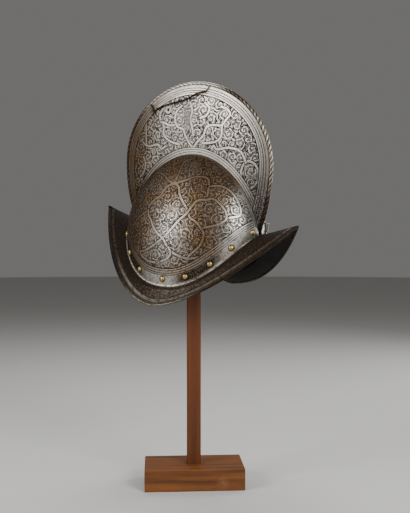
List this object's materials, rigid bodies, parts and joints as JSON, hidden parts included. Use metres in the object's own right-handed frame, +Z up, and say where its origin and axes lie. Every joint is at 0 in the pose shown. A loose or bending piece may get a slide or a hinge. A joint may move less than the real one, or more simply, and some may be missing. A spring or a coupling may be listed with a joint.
{
  "type": "comb morion helmet on wooden stand",
  "caption": "Steel comb morion with a tall roped comb, boat-shaped brim and brass lining rivets, on a square wooden post and block.",
  "frame": {"origin": "middle of the wooden block's flat underside, on the post's axis", "axes": "+Z up along the post; -Y towards the helmet's front point; +X towards the wearer's left"},
  "size_m": [0.22, 0.3478, 0.6039],
  "materials": {
    "etched_steel": "etched and aged",
    "brass": "worn",
    "holder_steel": "bright",
    "block_wood": "oiled",
    "post_wood": "oiled"
  },
  "bodies": {
    "root": {"shell": "etched_steel", "rivet_01": "brass", "rivet_02": "brass", "rivet_03": "brass", "rivet_04": "brass", "rivet_05": "brass", "rivet_06": "brass", "rivet_07": "brass", "rivet_08": "brass", "rivet_09": "brass", "rivet_10": "brass", "rivet_11": "brass", "rivet_12": "brass", "rivet_13": "brass", "rivet_14": "brass", "rivet_15": "brass", "rivet_16": "brass", "rivet_17": "brass", "plume_holder": "holder_steel", "stand_block": "block_wood", "stand_post": "post_wood"}
  },
  "joints": []
}
